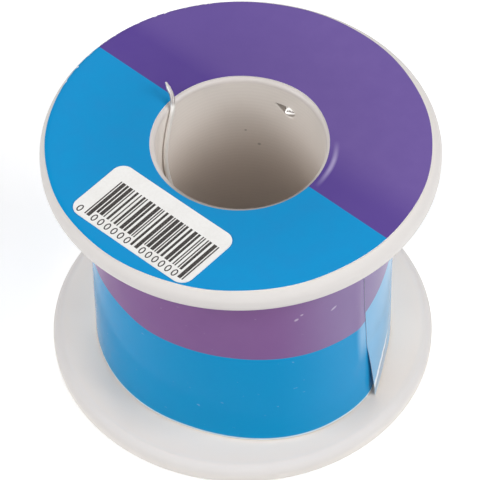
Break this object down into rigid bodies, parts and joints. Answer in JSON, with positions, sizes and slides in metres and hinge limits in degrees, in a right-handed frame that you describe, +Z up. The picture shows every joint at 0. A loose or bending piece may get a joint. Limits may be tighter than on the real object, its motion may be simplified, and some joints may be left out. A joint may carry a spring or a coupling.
{
  "type": "solder wire spool",
  "caption": "Moulded flanged spool holding a winding of flux-cored solder wire, with a round top label, a barcode sticker and a printed film wrap; it turns on a spindle through its bore.",
  "frame": {"origin": "centre of the lower flange's underside, on the spool's axis", "axes": "+Z up the spool's axis, towards the labelled flange; -Y is the front, where the picture's camera stands"},
  "size_m": [0.05, 0.05, 0.04],
  "materials": {
    "spool_plastic": "moulded white polystyrene, semi-gloss",
    "solder": "drawn tin alloy wire, bright",
    "flux": "amber rosin",
    "label_print": "printed paper, semi-gloss varnish",
    "sticker_paper": "uncoated white paper",
    "wrap_film": "printed film, glossy"
  },
  "bodies": {
    "root": {"spool_body": "spool_plastic", "solder_inner_layers": "solder", "solder_outer_layer": "solder", "solder_cut_end": "solder", "solder_tail": "solder", "flux_core": "flux", "ring_label": "label_print", "barcode_sticker": "sticker_paper", "wrap_label": "wrap_film"}
  },
  "joints": []
}
